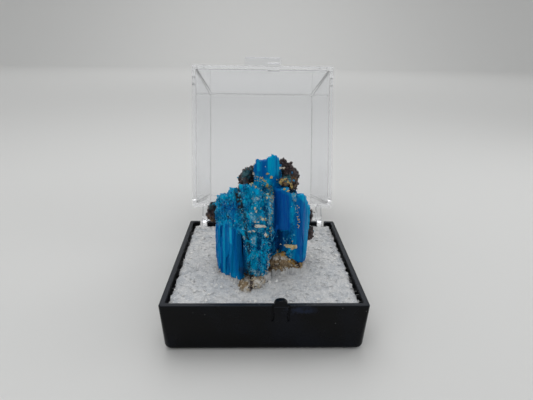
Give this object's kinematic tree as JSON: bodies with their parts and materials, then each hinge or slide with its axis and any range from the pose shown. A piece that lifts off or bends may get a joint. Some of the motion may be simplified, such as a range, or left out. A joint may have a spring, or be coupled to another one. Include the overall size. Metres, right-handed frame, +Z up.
{
  "type": "chalcanthite specimen in a hinged display box",
  "caption": "Fibrous blue chalcanthite on brown rock, seated on a foam pad in a small black tray, with a clear lid that closes over it on a rear hinge.",
  "frame": {"origin": "centre of the tray's flat underside, on the surface that the box stands on", "axes": "+X to the right seen from the front, +Y to the back towards the hinge, +Z up"},
  "size_m": [0.0318, 0.0699, 0.0425],
  "materials": {
    "tray_black_plastic": "gloss",
    "lid_clear_plastic": "polished",
    "foam_pale_grey": "matte",
    "chalcanthite_blue": "satin",
    "host_rock_brown": "matte",
    "foot_crust_tan": "matte"
  },
  "bodies": {
    "base": {"tray": "tray_black_plastic", "foam_pad": "foam_pale_grey", "chalcanthite": "chalcanthite_blue", "host_rock": "host_rock_brown", "foot_crust": "foot_crust_tan"},
    "lid": {"lid": "lid_clear_plastic"}
  },
  "joints": [
    {"name": "lid_hinge", "type": "hinge", "parent": "base", "child": "lid", "pos_m": [0, 0.01804, 0.0084], "axis": [1, 0, 0], "range_deg": [0, 107]}
  ]
}
